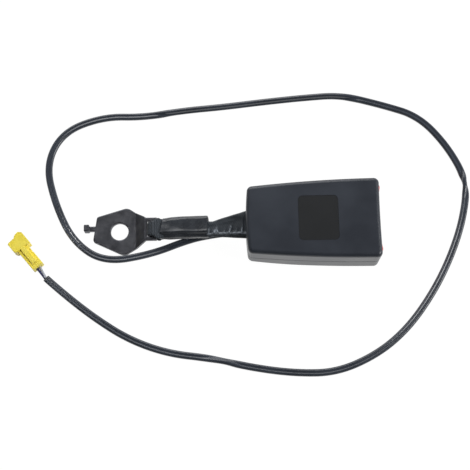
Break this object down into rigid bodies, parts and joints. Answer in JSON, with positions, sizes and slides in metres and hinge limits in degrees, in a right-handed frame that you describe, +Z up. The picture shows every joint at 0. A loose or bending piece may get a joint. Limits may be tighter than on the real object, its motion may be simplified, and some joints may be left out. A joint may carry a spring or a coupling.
{
  "type": "seat belt buckle",
  "caption": "Push-button seat belt buckle on a short webbing strap, with a bolt-down steel anchor plate and a switch lead ending in a small plug",
  "frame": {"origin": "On the axis of the anchor plate's bolt hole, at the level of the plate's underside, which is also the level the buckle and its lead lie on", "axes": "+X runs along the strap from the anchor plate to the buckle's mouth, +Z is up, out of the plate's seat face and towards the buckle's labelled side, +Y completes the right-handed frame"},
  "size_m": [0.2993, 0.1897, 0.027],
  "materials": {
    "shell": "fine-grained moulded charcoal plastic, slight sheen on the rounded edges",
    "label": "smooth near-black film",
    "button": "moulded red plastic",
    "anchor_steel": "dark grey satin plated steel",
    "frame_steel": "zinc-plated pressed steel",
    "spring_steel": "bright drawn spring wire",
    "strap": "woven black polyester webbing",
    "sleeve": "glossy black heat-formed tube",
    "guide": "smooth black low-friction plastic",
    "lead_sheath": "satin dark grey cable sheath",
    "core_dark": "dark violet-blue wire insulation",
    "core_light": "pale grey-white wire insulation",
    "connector": "yellow moulded plastic",
    "terminal": "tinned brass",
    "switch_case": "black moulded plastic",
    "magnet": "nickel-plated magnet"
  },
  "bodies": {
    "root": {"front_cover": "shell", "rear_cover": "shell", "blank_label": "label", "latch_frame": "frame_steel", "tongue_guide": "guide", "strap_pin": "frame_steel", "webbing_strap": "strap", "strap_sleeve": "sleeve", "sensor_body": "switch_case", "lead_inner": "core_dark", "switch_lead": "lead_sheath", "lead_core_dark": "core_dark", "lead_core_light": "core_light", "connector_housing": "connector", "connector_lock": "connector", "terminal_left": "terminal", "terminal_right": "terminal", "button_spring_left": "spring_steel", "button_spring_right": "spring_steel", "latch_spring": "spring_steel", "ejector_spring": "spring_steel"},
    "button": {"press_button": "button", "lock_pin": "frame_steel"},
    "latch": {"latch": "frame_steel"},
    "ejector": {"ejector": "guide", "sensor_magnet": "magnet"},
    "anchor": {"anchor_plate": "anchor_steel"}
  },
  "joints": [
    {"name": "button_press", "type": "slide", "parent": "root", "child": "button", "axis": [-1, 0, 0], "range_m": [0, 0.005], "stiffness_N_per_m": 900, "springref_m": -0.004, "deforming": ["button_spring_left", "button_spring_right"]},
    {"name": "latch_tilt", "type": "hinge", "parent": "root", "child": "latch", "pos_m": [0.116, 0, 0.0169], "axis": [0, 1, 0], "range_deg": [0, 13], "deforming": ["latch_spring"]},
    {"name": "ejector_slide", "type": "slide", "parent": "root", "child": "ejector", "axis": [-1, 0, 0], "range_m": [0, 0.008], "stiffness_N_per_m": 250, "springref_m": -0.006, "deforming": ["ejector_spring"]},
    {"name": "anchor_swing", "type": "hinge", "parent": "root", "child": "anchor", "pos_m": [0.0229, 0, 0.007], "axis": [0, 1, 0], "range_deg": [-15, 40]}
  ],
  "couplings": [
    {"joint": "latch_tilt", "follows": "button_press", "rad_per_m": 45.379}
  ]
}
